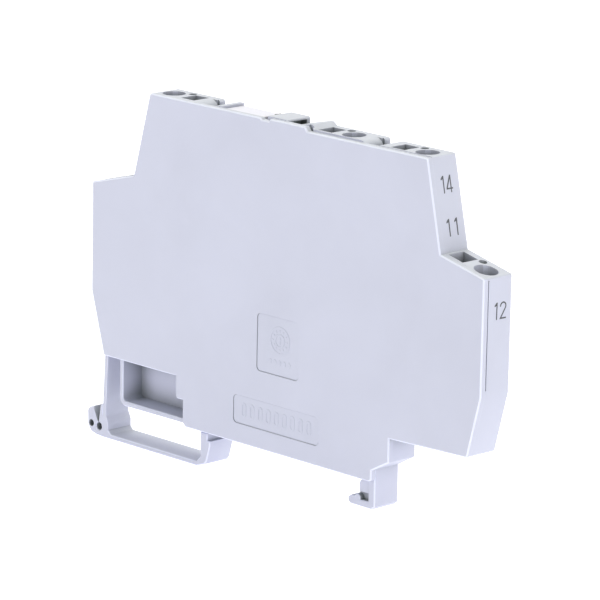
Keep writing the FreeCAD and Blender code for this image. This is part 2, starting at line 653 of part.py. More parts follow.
case = Piece("relay_case")
case.pad("XY", [relay_rect(0, 0)], relay_low, relay_top)
case.soften(0.4, *[("Z", x, y) for x, y in relay_rect(0, 0)])
case.cut("XY", [relay_rect(0.3, case_wall)], relay_low + 0.4, relay_top + 0.1)

# ---------------------------------------------------------------- magnet system
# Flat core inside the bobbin, L yoke above, armature hung on the yoke's end.
CORE_LOW, CORE_HIGH, CORE_HALF = 19.6, 20.8, 0.9
CORE_CLEAR = 0.02
hole_low, hole_high = CORE_LOW - CORE_CLEAR, CORE_HIGH + CORE_CLEAR
hole_half = CORE_HALF + CORE_CLEAR

core = Piece("iron_core")
core.pad("XZ", [rect(-13.2, 1.9, CORE_LOW, CORE_HIGH)], -CORE_HALF, CORE_HALF)
core.pad("XZ", [rect(1.7, 2.35, 18.6, 21.8)], -1.7, 1.7)

YOKE_OUTLINE = [
    (-13.4, 18.2), (-12.5, 18.2), (-12.5, 24.9), (3.2, 24.9), (3.2, 25.9), (-13.4, 25.9),
]
yoke = Piece("yoke")
yoke.pad("XZ", [YOKE_OUTLINE], -1.75, 1.75)
yoke.cut("XZ", [rect(-13.42, -12.4, hole_low, hole_high)], -hole_half, hole_half)

flange = (-2.05, 2.05, 16.0, 24.7)
bobbin = Piece("coil_bobbin")
bobbin.pad("YZ", [rounded(-1.3, 1.3, 19.2, 21.2, 0.35)], -12.4, 1.55)
bobbin.pad("YZ", [rounded(*flange, 0.5)], -12.4, -11.7)
bobbin.pad("YZ", [rounded(*flange, 0.5)], 0.85, 1.6)
bobbin.cut("YZ", [rect(-hole_half, hole_half, hole_low, hole_high)], -12.5, 1.7)

winding = Piece("coil_winding")
winding.pad("YZ", [rounded(-1.95, 1.95, 16.6, 23.8, 1.5)], -11.66, 0.81)
winding.cut("YZ", [rounded(-1.33, 1.33, 19.17, 21.23, 0.35)], -11.8, 1.0)

ARMATURE_OUTLINE = [
    (2.75, 16.0), (3.35, 16.0), (3.35, 24.85), (4.3, 24.85), (4.3, 25.9), (3.35, 25.9),
    (3.32, 26.0), (3.24, 26.0), (3.24, 24.8), (2.75, 24.8),
]
armature = Piece("armature")
armature.pad("XZ", [ARMATURE_OUTLINE], -1.7, 1.7)
armature.cut("XY", [rect(2.5, 3.6, 0.75, 2.0), rect(2.5, 3.6, -2.0, -0.75)], 15.5, 16.95)

# The card holds the armature's lower end in a frame and the changeover spring in a slot.
CARD_PARTS = [  # X range, Y range
    (3.42, 9.6, -1.6, 1.6), (2.25, 2.68, -1.6, 1.6), (2.25, 3.6, 0.82, 1.6),
    (2.25, 3.6, -1.6, -0.82),
]
card = Piece("actuator_card")
for x_low, x_high, y_low, y_high in CARD_PARTS:
    card.pad("XZ", [rect(x_low, x_high, 15.7, 16.5)], y_low, y_high)
card.cut("XY", [rect(COMMON_X - 0.18, COMMON_X + 0.18, -1.1, 1.1)], 15.5, 16.7)

# ---------------------------------------------------------------- relay contacts
CONTACT_Z = 18.4
RIVET, RIVET_HOLE = 0.3, 0.31       # radii
PIN_HALF, PIN_TOP = 0.25, 32.3


def contact_circle(radius):
    return circle(0.0, CONTACT_Z, radius)


common = Piece("common_terminal")
for z_low, z_high, half in ((26.3, 28.2, 1.2), (27.5, PIN_TOP, PIN_HALF)):
    common.pad("XZ", [rect(COMMON_X - 0.22, COMMON_X + 0.22, z_low, z_high)], -half, half)

blade = Piece("changeover_spring")
blade.pad("XZ", [rect(COMMON_X - 0.08, COMMON_X + 0.08, 15.4, 26.24)], -1.0, 1.0)
moving_tip = Piece("moving_contact_tip")
for radius, x_low, x_high in ((0.75, 8.5, 8.95), (0.75, 7.85, 8.3), (RIVET, 8.2, 8.6)):
    moving_tip.pad("YZ", [contact_circle(radius)], x_low, x_high)
blade.cut("YZ", [contact_circle(RIVET_HOLE)], 8.2, 8.6)

FIXED_CONTACTS = [  # prefix, pin X, blade X, head's X range, rivet's X range
    ("no", NO_X, 6.75, (6.97, 7.38), (6.5, 7.0)),
    ("nc", NC_X, 10.2, (8.99, 9.98), (9.9, 10.45)),
]
for prefix, pin_x, blade_x, head, rivet in FIXED_CONTACTS:
    fixed = Piece(prefix + "_terminal")
    path = [(pin_x, PIN_TOP), (pin_x, 26.9), (blade_x, 26.9), (blade_x, 17.2)]
    fixed.pad("XZ", [band(path, 0.4, 0.5)], -1.2, 1.2)
    narrow(fixed, pin_x, 0.6, PIN_HALF, 1.5, 29.9, 33.0)
    fixed.cut("YZ", [contact_circle(RIVET_HOLE)], blade_x - 0.5, blade_x + 0.5)
    tip = Piece(prefix + "_contact_tip")
    tip.pad("YZ", [contact_circle(0.8)], *head)
    tip.pad("YZ", [contact_circle(RIVET)], *rivet)

coil = Piece("coil_pins")
pins = [rect(x - PIN_HALF, x + PIN_HALF, -PIN_HALF, PIN_HALF) for x in COIL_PINS]
coil.pad("XY", pins, 26.6, PIN_TOP)

# ---------------------------------------------------------------- checks and export
doc.recompute()
bad = [o.Name for o in doc.Objects if "Invalid" in o.State or "Error" in o.State]
if bad:
    raise SystemExit("failed objects: %s" % bad)
bodies = [o for o in doc.Objects if o.isDerivedFrom("PartDesign::Body")]
for body in bodies:
    if body.Shape.isNull() or not body.Shape.isValid() or body.Shape.Volume <= 0:
        raise SystemExit("bad shape: " + body.Label)
os.makedirs("parts", exist_ok=True)
for body in bodies:
    body.Shape.exportStep("parts/%s.step" % body.Label)
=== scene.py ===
import json
import math

import bmesh
import bpy
from mathutils import Matrix, Vector
from mathutils.geometry import tessellate_polygon


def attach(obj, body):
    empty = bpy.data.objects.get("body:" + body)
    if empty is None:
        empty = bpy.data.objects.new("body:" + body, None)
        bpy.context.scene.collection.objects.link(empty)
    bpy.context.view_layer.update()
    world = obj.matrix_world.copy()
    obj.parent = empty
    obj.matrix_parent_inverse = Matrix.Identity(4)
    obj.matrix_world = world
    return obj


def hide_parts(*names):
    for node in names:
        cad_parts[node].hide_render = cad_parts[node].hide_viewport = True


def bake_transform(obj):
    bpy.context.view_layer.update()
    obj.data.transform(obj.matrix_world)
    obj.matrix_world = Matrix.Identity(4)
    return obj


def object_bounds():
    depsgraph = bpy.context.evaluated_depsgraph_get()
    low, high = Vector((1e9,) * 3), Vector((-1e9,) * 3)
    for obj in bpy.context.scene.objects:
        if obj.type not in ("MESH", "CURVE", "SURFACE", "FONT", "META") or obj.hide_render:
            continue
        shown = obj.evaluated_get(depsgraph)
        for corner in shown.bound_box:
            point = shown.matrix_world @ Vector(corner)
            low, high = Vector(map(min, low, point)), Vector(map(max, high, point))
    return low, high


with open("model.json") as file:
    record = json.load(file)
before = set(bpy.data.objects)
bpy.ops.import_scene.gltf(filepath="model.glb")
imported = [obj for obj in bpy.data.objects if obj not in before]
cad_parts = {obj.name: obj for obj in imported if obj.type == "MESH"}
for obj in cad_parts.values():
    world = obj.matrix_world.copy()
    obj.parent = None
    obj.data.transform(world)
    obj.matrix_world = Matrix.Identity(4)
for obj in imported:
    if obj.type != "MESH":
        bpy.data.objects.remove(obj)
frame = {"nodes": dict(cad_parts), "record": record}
CAD_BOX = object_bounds()
NODES = frame["nodes"]

MM = 0.001
SEAT_MIDDLE_X = 0.5      # working X of the rail seat's middle, which is X = 0 in the frame
COVER_Y = -3.1           # outer face of the cover


def point(x, y, z):
    """Working millimetres to the frame in metres."""
    return Vector(((x - SEAT_MIDDLE_X) * MM, y * MM, z * MM))


# ---------------------------------------------------------------- shader building
class Shader:
    """Adds nodes to one tree; an input takes a value or another node's output."""

    def __init__(self, tree):
        self.tree = tree

    def feed(self, node, inputs):
        for key, value in inputs.items():
            socket = node.inputs[key]
            if isinstance(value, bpy.types.NodeSocket):
                self.tree.links.new(value, socket)
            elif value is not None:
                socket.default_value = value + (1,) if socket.type == "RGBA" else value

    def add(self, kind, inputs=None, **settings):
        node = self.tree.nodes.new("ShaderNode" + kind)
        for key, value in settings.items():
            setattr(node, key, value)
        self.feed(node, inputs or {})
        return node

    def noise(self, coords, scale, detail, roughness, distortion=0.0):
        return self.add("TexNoise", {"Vector": coords, "Scale": scale, "Detail": detail,
                                     "Roughness": roughness,
                                     "Distortion": distortion}).outputs["Fac"]

    def ramp(self, source, *stops):
        """Stops are (position, grey level or colour)."""
        node = self.add("ValToRGB", {0: source})
        elements = node.color_ramp.elements
        while len(elements) < len(stops):
            elements.new(0.5)
        for element, (position, colour) in zip(elements, stops):
            element.position = position
            element.color = (colour if isinstance(colour, tuple) else (colour,) * 3) + (1,)
        return node.outputs[0]

    def mix(self, factor, a, b):
        return self.add("Mix", {0: factor, 6: a, 7: b}, data_type="RGBA").outputs[2]

    def math(self, operation, a, b=None, clamp=False):
        return self.add("Math", {0: a, 1: b}, operation=operation, use_clamp=clamp).outputs[0]

    def times(self, a, b, clamp=False):
        return self.math("MULTIPLY", a, b, clamp)

    def plus(self, a, b, clamp=False):
        return self.math("ADD", a, b, clamp)

    def minus(self, a, b, clamp=False):
        return self.math("SUBTRACT", a, b, clamp)

    def bevel(self, radius):
        return self.add("Bevel", {"Radius": radius}, samples=4).outputs[0]

    def bump(self, height, strength, distance, normal=None):
        return self.add("Bump", {"Strength": strength, "Distance": distance,
                                 "Height": height, "Normal": normal}).outputs[0]


def new_material(name):
    material = bpy.data.materials.new(name)
    material.use_nodes = True
    material.node_tree.nodes.clear()
    shader = Shader(material.node_tree)
    output = shader.add("OutputMaterial")
    surface = shader.add("BsdfPrincipled")
    shader.feed(output, {0: surface.outputs[0]})
    return material, shader, surface


def toned(colour, factor, lift=0.0):
    return tuple(min(1.0, c * factor + lift) for c in colour)


# ---------------------------------------------------------------- moulded plastic
SPECK_MIX, SPECK_TONE = 0.04, 0.72       # how much the specks show, and how dark they are
WEAR_AND_HIGHLIGHT_GAIN = 7.0                          # turns the slight tilt at an edge into full edge wear and painted highlight
WEAR_AND_HIGHLIGHT_FLOOR = 0.35                        # edge wear and painted highlight left where the medium noise is lowest
RIM_LIFT = 0.004                         # extra brightening of the worn edges and their painted highlight beyond their factor
CHAMFER_Y = 0.707                        # width component of a 45 degree chamfer's normal
CHAMFER_HIGHLIGHT_VARIATION, CHAMFER_HIGHLIGHT_FLOOR = 0.5, 0.7
MEDIUM_ROUGHNESS, BROAD_ROUGHNESS, RECESS_ROUGHNESS = 0.14, 0.06, 0.4
TIGHT_RADIUS = 0.25                      # moulding radius as a share of the edge radius


def edge_wear_and_highlight(shader, geometry, medium, openness, edge, edge_radius):
    """Wear and a painted rim highlight where the rounded-over normal leaves the true one, out in
    the open.
    """
    dot = shader.add("VectorMath", {0: shader.bevel(edge_radius), 1: geometry.outputs["Normal"]},
                     operation="DOT_PRODUCT")
    wear_and_highlight = shader.minus(1.0, dot.outputs["Value"], clamp=True)
    wear_and_highlight = shader.times(wear_and_highlight, WEAR_AND_HIGHLIGHT_GAIN, clamp=True)
    wear_and_highlight = shader.times(wear_and_highlight, shader.plus(medium, WEAR_AND_HIGHLIGHT_FLOOR, clamp=True))
    return shader.times(shader.times(wear_and_highlight, openness), edge)


def chamfer_highlight(shader, geometry, medium):
    """Painted highlight along the chamfers, the faces that lean halfway between the width axis
    and the outline.
    """
    local = shader.add("VectorTransform", {0: geometry.outputs["True Normal"]},
                       vector_type="NORMAL", convert_from="WORLD", convert_to="OBJECT")
    parts = shader.add("SeparateXYZ", {0: local.outputs[0]})
    width_part = shader.math("ABSOLUTE", parts.outputs["Y"])
    lean = shader.math("ABSOLUTE", shader.minus(width_part, CHAMFER_Y))
    line = shader.ramp(lean, (0.10, 1.0), (0.22, 0.0))
    varied = shader.plus(shader.times(medium, CHAMFER_HIGHLIGHT_VARIATION), CHAMFER_HIGHLIGHT_FLOOR, clamp=True)
    return shader.times(line, varied)


def moulded_normal(shader, broad, fine, edge_radius):
    """A small moulding radius, fine tool grain and a broad waviness."""
    rounded = shader.bevel(edge_radius * TIGHT_RADIUS)
    grained = shader.bump(fine, strength=0.10, distance=0.00002, normal=rounded)
    return shader.bump(broad, strength=0.25, distance=0.00006, normal=grained)


def moulded(name, base, rough=0.42, tint=0.03, edge=0.5, rim=1.28, sss=0.0,
            edge_radius=0.00025, recess_shade_amount=0.28, reach=0.0005, chamfer_highlight_amount=0.0,
            shade=(0.45, 0.45, 0.45)):
    """Injection-moulded plastic with grain, mottling, rubbed edges with a painted rim highlight,
    and painted shade in its corners.

    tint: mottling; edge, rim: amount and brightness of the edge wear and painted rim highlight;
    sss: subsurface weight; recess_shade_amount, shade: amount and tone of the painted shade in
    corners; reach: how far (m) from a corner the painted shade reaches;
    chamfer_highlight_amount: painted highlight along the chamfers.
    """
    material, shader, surface = new_material(name)
    coords = shader.add("TexCoord").outputs["Object"]
    broad = shader.noise(coords, scale=55.0, detail=3.0, roughness=0.5, distortion=0.4)
    medium = shader.noise(coords, scale=420.0, detail=5.0, roughness=0.6)
    fine = shader.noise(coords, scale=9000.0, detail=2.0, roughness=0.5)

    mottling = shader.ramp(broad, (0.3, 0.0), (0.7, 1.0))
    colour = shader.mix(mottling, toned(base, 1 - tint), toned(base, 1 + tint))
    speck_noise = shader.noise(coords, scale=2600.0, detail=2.0, roughness=0.5)
    specks = shader.ramp(speck_noise, (0.30, 1.0), (0.36, 0.0))
    colour = shader.mix(shader.times(specks, SPECK_MIX), colour, toned(base, SPECK_TONE))

    occlusion = shader.add("AmbientOcclusion", {"Distance": reach}, samples=6, only_local=True)
    openness = shader.ramp(occlusion.outputs["AO"], (0.20, 0.08), (0.92, 1.0))
    geometry = shader.add("NewGeometry")
    wear_and_highlight = edge_wear_and_highlight(shader, geometry, medium, openness, edge, edge_radius)
    # Painted highlight: the chamfers are lightened into a bright rim line
    if chamfer_highlight_amount:
        line = chamfer_highlight(shader, geometry, medium)
        wear_and_highlight = shader.math("MAXIMUM", wear_and_highlight, shader.times(line, chamfer_highlight_amount))
    # Edge wear and the painted rim highlight both lighten the colour here
    colour = shader.mix(wear_and_highlight, colour, toned(base, rim, RIM_LIFT))
    # Painted shade: where the occlusion closes in, at corners and in recesses, the colour is
    # darkened towards the shade tone, and the roughness is raised there too
    painted_recess_shade = shader.times(shader.minus(1.0, openness), recess_shade_amount)
    colour = shader.mix(painted_recess_shade, colour, tuple(c * k for c, k in zip(base, shade)))

    # half the medium noise's swing is taken off so that it varies about the given roughness
    roughness = shader.plus(shader.times(medium, MEDIUM_ROUGHNESS), rough - MEDIUM_ROUGHNESS / 2)
    roughness = shader.plus(roughness, shader.times(broad, BROAD_ROUGHNESS))
    roughness = shader.plus(roughness, shader.times(painted_recess_shade, RECESS_ROUGHNESS))
    shader.feed(surface, {"Base Color": colour, "Roughness": roughness,
                          "Normal": moulded_normal(shader, broad, fine, edge_radius)})
    if sss:
        shader.feed(surface, {"Subsurface Weight": sss, "Subsurface Scale": 1.0,
                              "Subsurface Radius": (0.0009, 0.0008, 0.0007)})
    return material


# ---------------------------------------------------------------- metal
TARNISH_COLOUR = (0.30, 0.22, 0.12)
RUB_MIX, RUB_FACTOR, RUB_LIFT = 0.5, 1.25, 0.04      # amount and brightness of rubbed edges
LINE_ROUGHNESS, LINE_OFFSET = 0.22, 0.08             # roughness swing of the lines, and its start


def metal(name, base, rough=0.25, lines=0.35, axis_scale=(1, 1, 30), tarnish=0.12):
    """Rolled or plated metal; lines is the bump of the drawn lines, axis_scale their stretch."""
    material, shader, surface = new_material(name)
    coords = shader.add("TexCoord").outputs["Object"]
    stretched = shader.add("Mapping", {"Scale": axis_scale, "Vector": coords}).outputs[0]
    drawn = shader.noise(stretched, scale=900.0, detail=3.0, roughness=0.6)
    patches = shader.noise(coords, scale=350.0, detail=4.0, roughness=0.6)
    tarnished = shader.times(shader.ramp(patches, (0.45, 0.0), (0.75, 1.0)), tarnish)
    colour = shader.mix(tarnished, base, TARNISH_COLOUR)
    pointiness = shader.add("NewGeometry").outputs["Pointiness"]
    rubbed = shader.times(shader.ramp(pointiness, (0.52, 0.0), (0.60, 1.0)), RUB_MIX)
    colour = shader.mix(rubbed, colour, toned(base, RUB_FACTOR, RUB_LIFT))
    roughness = shader.plus(shader.times(drawn, LINE_ROUGHNESS), rough - LINE_OFFSET)
    shader.feed(surface, {"Base Color": colour, "Metallic": 1.0, "Roughness": roughness,
                          "Normal": shader.bump(drawn, strength=lines, distance=0.00001)})
    return material


# ---------------------------------------------------------------- materials by slot
MATERIALS = {
    "grey_moulding": moulded(
        "grey_polyamide", (0.536, 0.552, 0.672), rough=0.46, edge=0.16, rim=1.36, sss=0.06,
        edge_radius=0.00024, recess_shade_amount=0.95, reach=0.0036, chamfer_highlight_amount=1.0, shade=(0.27, 0.30, 0.24)),
    "white_moulding": moulded(
        "white_polyamide", (0.745, 0.73, 0.88), tint=0.015, edge=0.3, rim=1.1,
        recess_shade_amount=0.35, reach=0.001, sss=0.08),
    "black_moulding": moulded(
        "black_filled_polyester", (0.020, 0.020, 0.022), rough=0.5, tint=0.15, edge=0.35),
    "relay_case_black": moulded(
        "black_relay_case", (0.016, 0.016, 0.019), rough=0.28, tint=0.15, edge=0.3),
    "bobbin_moulding": moulded("cream_glass_filled", (0.62, 0.55, 0.40), rough=0.5, tint=0.06),
    "component_ceramic": moulded("lacquered_ceramic", (0.17, 0.30, 0.42), rough=0.3, tint=0.10),
    "can_sleeve": moulded("dark_sleeve", (0.03, 0.035, 0.07), rough=0.3, tint=0.10),
    "smoked_clear": moulded(
        "smoked_light_guide", (0.060, 0.062, 0.060), rough=0.16, tint=0.05, edge=0.15),
    "led_lens": moulded("diffused_lens", (0.62, 0.66, 0.52), rough=0.22, tint=0.04),
    "board_laminate": moulded("green_laminate", (0.012, 0.10, 0.045), rough=0.32, tint=0.18),
    "tinned_copper": metal("tinned_copper_strip", (0.72, 0.71, 0.68), rough=0.26),
    "spring_steel": metal("spring_steel_strip", (0.56, 0.55, 0.54), rough=0.30, tarnish=0.08),
    "spring_bronze": metal("bronze_strip", (0.70, 0.45, 0.24), rough=0.28),
    "silver_contact": metal("silver_alloy", (0.83, 0.82, 0.80), rough=0.22, lines=0.15),
    "soft_iron": metal("nickel_plated_iron", (0.55, 0.54, 0.51), rough=0.32),
    "enamelled_copper": metal("enamelled_copper_wire", (0.62, 0.22, 0.08), rough=0.24,
                              lines=1.0, axis_scale=(40, 1, 1)),
    "solder": metal("reflowed_solder", (0.66, 0.66, 0.67), rough=0.20, lines=0.1),
}
INK = moulded("dark_pad_ink", (0.085, 0.088, 0.105), rough=0.55, tint=0.25, edge=0.2,
              recess_shade_amount=0.0, edge_radius=0.00004)


def finish_cad_piece(piece, slot):
    """Material, and smooth shading that breaks at the chamfers and corners."""
    piece.data.materials.clear()
    piece.data.materials.append(MATERIALS[slot])
    weld = piece.modifiers.new("weld", "WELD")
    weld.merge_threshold = 1e-6
    breaks = piece.modifiers.new("breaks", "EDGE_SPLIT")
    breaks.split_angle = math.radians(24)
    for face in piece.data.polygons:
        face.use_smooth = True


slot_of = {part["node"]: part["material_slot"] for part in frame["record"]["subparts"]}
for node_name, piece in NODES.items():
    finish_cad_piece(piece, slot_of[node_name])


# ---------------------------------------------------------------- mesh helpers
def link_object(name, data):
    made = bpy.data.objects.new(name, data)
    bpy.context.scene.collection.objects.link(made)
    return made


def add_softened(name, bm, material, radius, segments=2, angle=30):
    """A smooth-shaded object from bm, its edges rounded to a radius in millimetres."""
    mesh = bpy.data.meshes.new(name)
    bmesh.ops.recalc_face_normals(bm, faces=bm.faces[:])
    bm.to_mesh(mesh)
    bm.free()
    for face in mesh.polygons:
        face.use_smooth = True
    mesh.materials.append(material)
    made = link_object(name, mesh)
    bevel = made.modifiers.new("edge_radius", "BEVEL")
    bevel.width = radius * MM
    bevel.segments = segments
    bevel.limit_method = "ANGLE"
    bevel.angle_limit = math.radians(angle)
    bevel.use_clamp_overlap = True
    bevel.harden_normals = True
    return made


def add_cover_relief(name, bm, radius):
    relief = add_softened(name, bm, MATERIALS["grey_moulding"], radius)
    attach(relief, "housing")


def prism(bm, place, depths, outline, holes=()):
    """A closed prism between two depths; place(u, v, w) gives the point, w being depth."""
    loops = [outline, *holes]
    triangles = tessellate_polygon([[Vector((u, v, 0)) for u, v in loop] for loop in loops])
    corners = [corner for loop in loops for corner in loop]
    low, high = ([bm.verts.new(place(u, v, depth)) for u, v in corners] for depth in depths)
    for triangle in triangles:
        bm.faces.new([high[i] for i in triangle])
        bm.faces.new([low[i] for i in reversed(triangle)])
    start = 0
    for loop in loops:
        count = len(loop)
        for i in range(count):
            a, b = start + i, start + (i + 1) % count
            bm.faces.new((low[a], low[b], high[b], high[a]))
        start += count


def circle(cx, cy, radius, count):
    angles = [math.tau * i / count for i in range(count)]
    return [(cx + radius * math.cos(a), cy + radius * math.sin(a)) for a in angles]


def upright_pill(cx, cy, width, height, steps=8):
    """Round-ended bar, taller than wide."""
    radius = width / 2
    points = []
    for side, start in ((1, 0.0), (-1, math.pi)):
        for i in range(steps + 1):
            a = math.pi * i / steps + start
            points.append((cx + radius * math.cos(a),
                           cy + side * (height / 2 - radius) + radius * math.sin(a)))
    return points


def rounded_box(x0, x1, y0, y1, radius, steps=6):
    points = []
    for cx, cy, start in ((x1 - radius, y0 + radius, -90), (x1 - radius, y1 - radius, 0),
                          (x0 + radius, y1 - radius, 90), (x0 + radius, y0 + radius, 180)):
        for i in range(steps + 1):
            a = math.radians(start + 90 * i / steps)
            points.append((cx + radius * math.cos(a), cy + radius * math.sin(a)))
    return points


def stroke(path, width):
    """Outline of an open stroke with mitred corners and square ends."""
    path = [Vector(p) for p in path]
    runs = [(b - a).normalized() for a, b in zip(path, path[1:])]
    left, right = [], []
    for p, before, after in zip(path, runs[:1] + runs, runs + runs[-1:]):
        along = (before + after).normalized()
        normal = Vector((-along.y, along.x))
        reach = width / 2 / max(0.35, normal.dot(Vector((-before.y, before.x))))
        left.append(tuple(p + normal * reach))
        right.append(tuple(p - normal * reach))
    return left + right[::-1]


# ---------------------------------------------------------------- relief on the cover
def on_cover(u, v, w):
    """u along the module, v up, w out of the cover's face."""
    return point(u, COVER_Y - w, v)


GROOVE = 0.20                    # gap along a field's -X and lower sides
FIELD_CLEARANCE = 0.02           # gap along its +X and upper sides
FIELD_DEPTHS = (-0.121, -0.035)
FIELDS = {                       # x0, x1, z0, z1
    "upper_field_insert": (-4.75, 5.1, 13.15, 22.85),
    "lower_field_insert": (-10.1, 10.0, 3.35, 8.15),
}
RELIEF_DEPTHS = (-0.04, 0.012)
SMALL_BAR_DEPTHS = (-0.04, 0.008)
RELIEF_RADIUS = 0.025

DIAL_X, DIAL_Z = 0.6, 19.05
DIAL_RINGS = ((2.35, 2.05, 64), (1.15, 0.92, 40))    # outer radius, inner radius, points
TICKS = 12
TICK_INNER, TICK_OUTER, TICK_HALF_WIDTH = 1.4, 1.8, 0.10
POINTER = (                      # x, z from the dial's centre
    (-0.12, -0.62), (0.12, -0.62), (0.12, 0.15), (0.36, 0.15),
    (0, 0.68), (-0.36, 0.15), (-0.12, 0.15),
)


def build_field_inserts():
    for name, (x0, x1, z0, z1) in FIELDS.items():
        bm = bmesh.new()
        outline = rounded_box(x0 + GROOVE, x1 - FIELD_CLEARANCE,
                              z0 + GROOVE, z1 - FIELD_CLEARANCE, radius=0.7)
        prism(bm, on_cover, FIELD_DEPTHS, outline)
        add_cover_relief(name, bm, radius=0.03)


def build_date_dial():
    """Two rings, twelve ticks between them and a pointer."""
    bm = bmesh.new()
    for outer, inner, count in DIAL_RINGS:
        prism(bm, on_cover, RELIEF_DEPTHS, circle(DIAL_X, DIAL_Z, outer, count),
              [circle(DIAL_X, DIAL_Z, inner, count)[::-1]])
    centre = Vector((DIAL_X, DIAL_Z))
    for i in range(TICKS):
        a = math.tau * i / TICKS
        radial = Vector((math.cos(a), math.sin(a)))
        across = Vector((-math.sin(a), math.cos(a))) * TICK_HALF_WIDTH
        start, end = centre + radial * TICK_INNER, centre + radial * TICK_OUTER
        corners = (start + across, start - across, end - across, end + across)
        prism(bm, on_cover, RELIEF_DEPTHS, [tuple(corner) for corner in corners])
    prism(bm, on_cover, RELIEF_DEPTHS, [(DIAL_X + x, DIAL_Z + z) for x, z in POINTER])
    add_cover_relief("date_dial_relief", bm, RELIEF_RADIUS)


def build_tool_mark_bars():
    """A row of five small solid bars and, below it, a row of nine open ones."""
    bm = bmesh.new()
    for i in range(5):
        bar = upright_pill(-1.6 + 1.1 * i, 15.35, width=0.72, height=0.9)
        prism(bm, on_cover, SMALL_BAR_DEPTHS, bar)
    for i in range(9):
        x, z = -7.6 + 1.9 * i, 5.85
        prism(bm, on_cover, RELIEF_DEPTHS, upright_pill(x, z, width=1.15, height=2.5),
              [upright_pill(x, z, width=0.55, height=1.88)[::-1]])
    add_cover_relief("tool_mark_bars", bm, RELIEF_RADIUS)


# ---------------------------------------------------------------- contact numbers
INK_DEPTHS = (-0.01, 0.016)
STROKE = 0.235                   # stroke width
HALF = STROKE / 2
TALL = 2.75                      # digit height
BAR_Z = 0.52                     # underside of the four's crossbar
INCLINE_TOP_X, INCLINE_TOP_Z = 32.7, 54.5
INCLINE_FOOT_X, INCLINE_FOOT_Z = 36.0, 39.7
END_X = 45.5                     # upright end face


def digit_one(bm, x, place):
    prism(bm, place, INK_DEPTHS, [
        (x - 0.02 - HALF, 0), (x - 0.02 + HALF, 0), (x + 0.04 + HALF, TALL),
        (x + 0.04 - HALF, TALL), (x - 0.14 - HALF, TALL - 0.17), (x - 0.50, TALL - 0.42),
        (x - 0.50, TALL - 0.68), (x + 0.02 - HALF, TALL - 0.50)])


def digit_two(bm, x, place):
    path = [(x - 0.62, TALL - 0.75)]
    for i in range(13):
        a = math.radians(168 - i * 17.5)
        path.append((x + 0.02 + 0.60 * math.cos(a), TALL - 0.72 + 0.60 * math.sin(a)))
    path += [(x - 0.55, HALF + 0.02), (x + 0.70, HALF)]
    prism(bm, place, INK_DEPTHS, stroke(path, STROKE))


def digit_four(bm, x, place):
    stem, bar_top = x + 0.12, BAR_Z + STROKE
    outline = [(stem, 0), (stem + STROKE, 0), (stem + STROKE, BAR_Z), (x + 0.62, BAR_Z),
               (x + 0.62, bar_top), (stem + STROKE, bar_top), (stem + STROKE, TALL),
               (x + 0.10, TALL), (x - 0.78, bar_top), (x - 0.78, BAR_Z), (stem, BAR_Z)]
    hole = [(stem, bar_top), (stem, TALL - 0.62), (x - 0.50, bar_top)]
    prism(bm, place, INK_DEPTHS, outline, [hole])


def on_incline(base):
    """Places a digit whose foot is base down the slope from its top edge; u runs along Y."""
    slope = Vector((INCLINE_FOOT_X - INCLINE_TOP_X, 0,
                    INCLINE_FOOT_Z - INCLINE_TOP_Z)).normalized()
    outward = Vector((-slope.z, 0, slope.x))
    top_edge = Vector((INCLINE_TOP_X, 0, INCLINE_TOP_Z))

    def place(u, v, w):
        spot = top_edge + slope * (base - v) + outward * w
        return point(spot.x, u, spot.z)
    return place


def on_end(base):
    """Places a digit whose foot is at height base on the end face."""
    return lambda u, v, w: point(END_X + w, u, base + v)


MARKS = (                        # name, placing, (digit, its Y)
    ("mark_14", on_incline(5.95), ((digit_one, -0.34), (digit_four, 0.98))),
    ("mark_11", on_incline(12.70), ((digit_one, -0.29), (digit_one, 1.43))),
    ("mark_12", on_end(30.62), ((digit_one, -0.03), (digit_two, 1.36))),
)


def build_contact_numbers():
    for name, place, digits in MARKS:
        bm = bmesh.new()
        for draw_digit, y in digits:
            draw_digit(bm, y, place)
        mark = add_softened(name, bm, INK, radius=0.006, segments=1)
        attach(mark, "housing")


# ---------------------------------------------------------------- flexing arm
ARM_FRONT_Y, ARM_BACK_Y = -2.106, 3.102
ARM_THICKNESS = 0.8
ARM_X = -43.0                    # -X face at the housing
ARM_LEAN = 0.45                  # how far that face moves towards -X on the way down
LEAN_TOP_Z, LEAN_END_Z = 8.38, -0.7
FOOT_Z = -2.6                    # below this the arm thickens towards +X into the foot
FOOT_OUTER_X = -43.46
FLARE, FLARE_HEIGHT = 0.55, 1.1
ARM_OVERLAP = 0.004              # added to both X faces
ARM_LEVELS = [8.46, 8.0, *(7.5 - 0.5 * i for i in range(20)),
              -2.5, -2.9, -3.3, -3.7, -4.2, -4.7, -5.05]


def arm_section(z):
    lean = max(0.0, min(1.0, (LEAN_TOP_Z - z) / (LEAN_TOP_Z - LEAN_END_Z)))
    outer = ARM_X - ARM_LEAN * lean
    inner = outer + ARM_THICKNESS
    if z < FOOT_Z:
        inner += FLARE * min(1.0, (FOOT_Z - z) / FLARE_HEIGHT)
        outer = FOOT_OUTER_X
    outer -= ARM_OVERLAP
    inner += ARM_OVERLAP
    return [point(outer, ARM_FRONT_Y, z), point(inner, ARM_FRONT_Y, z),
            point(inner, ARM_BACK_Y, z), point(outer, ARM_BACK_Y, z)]


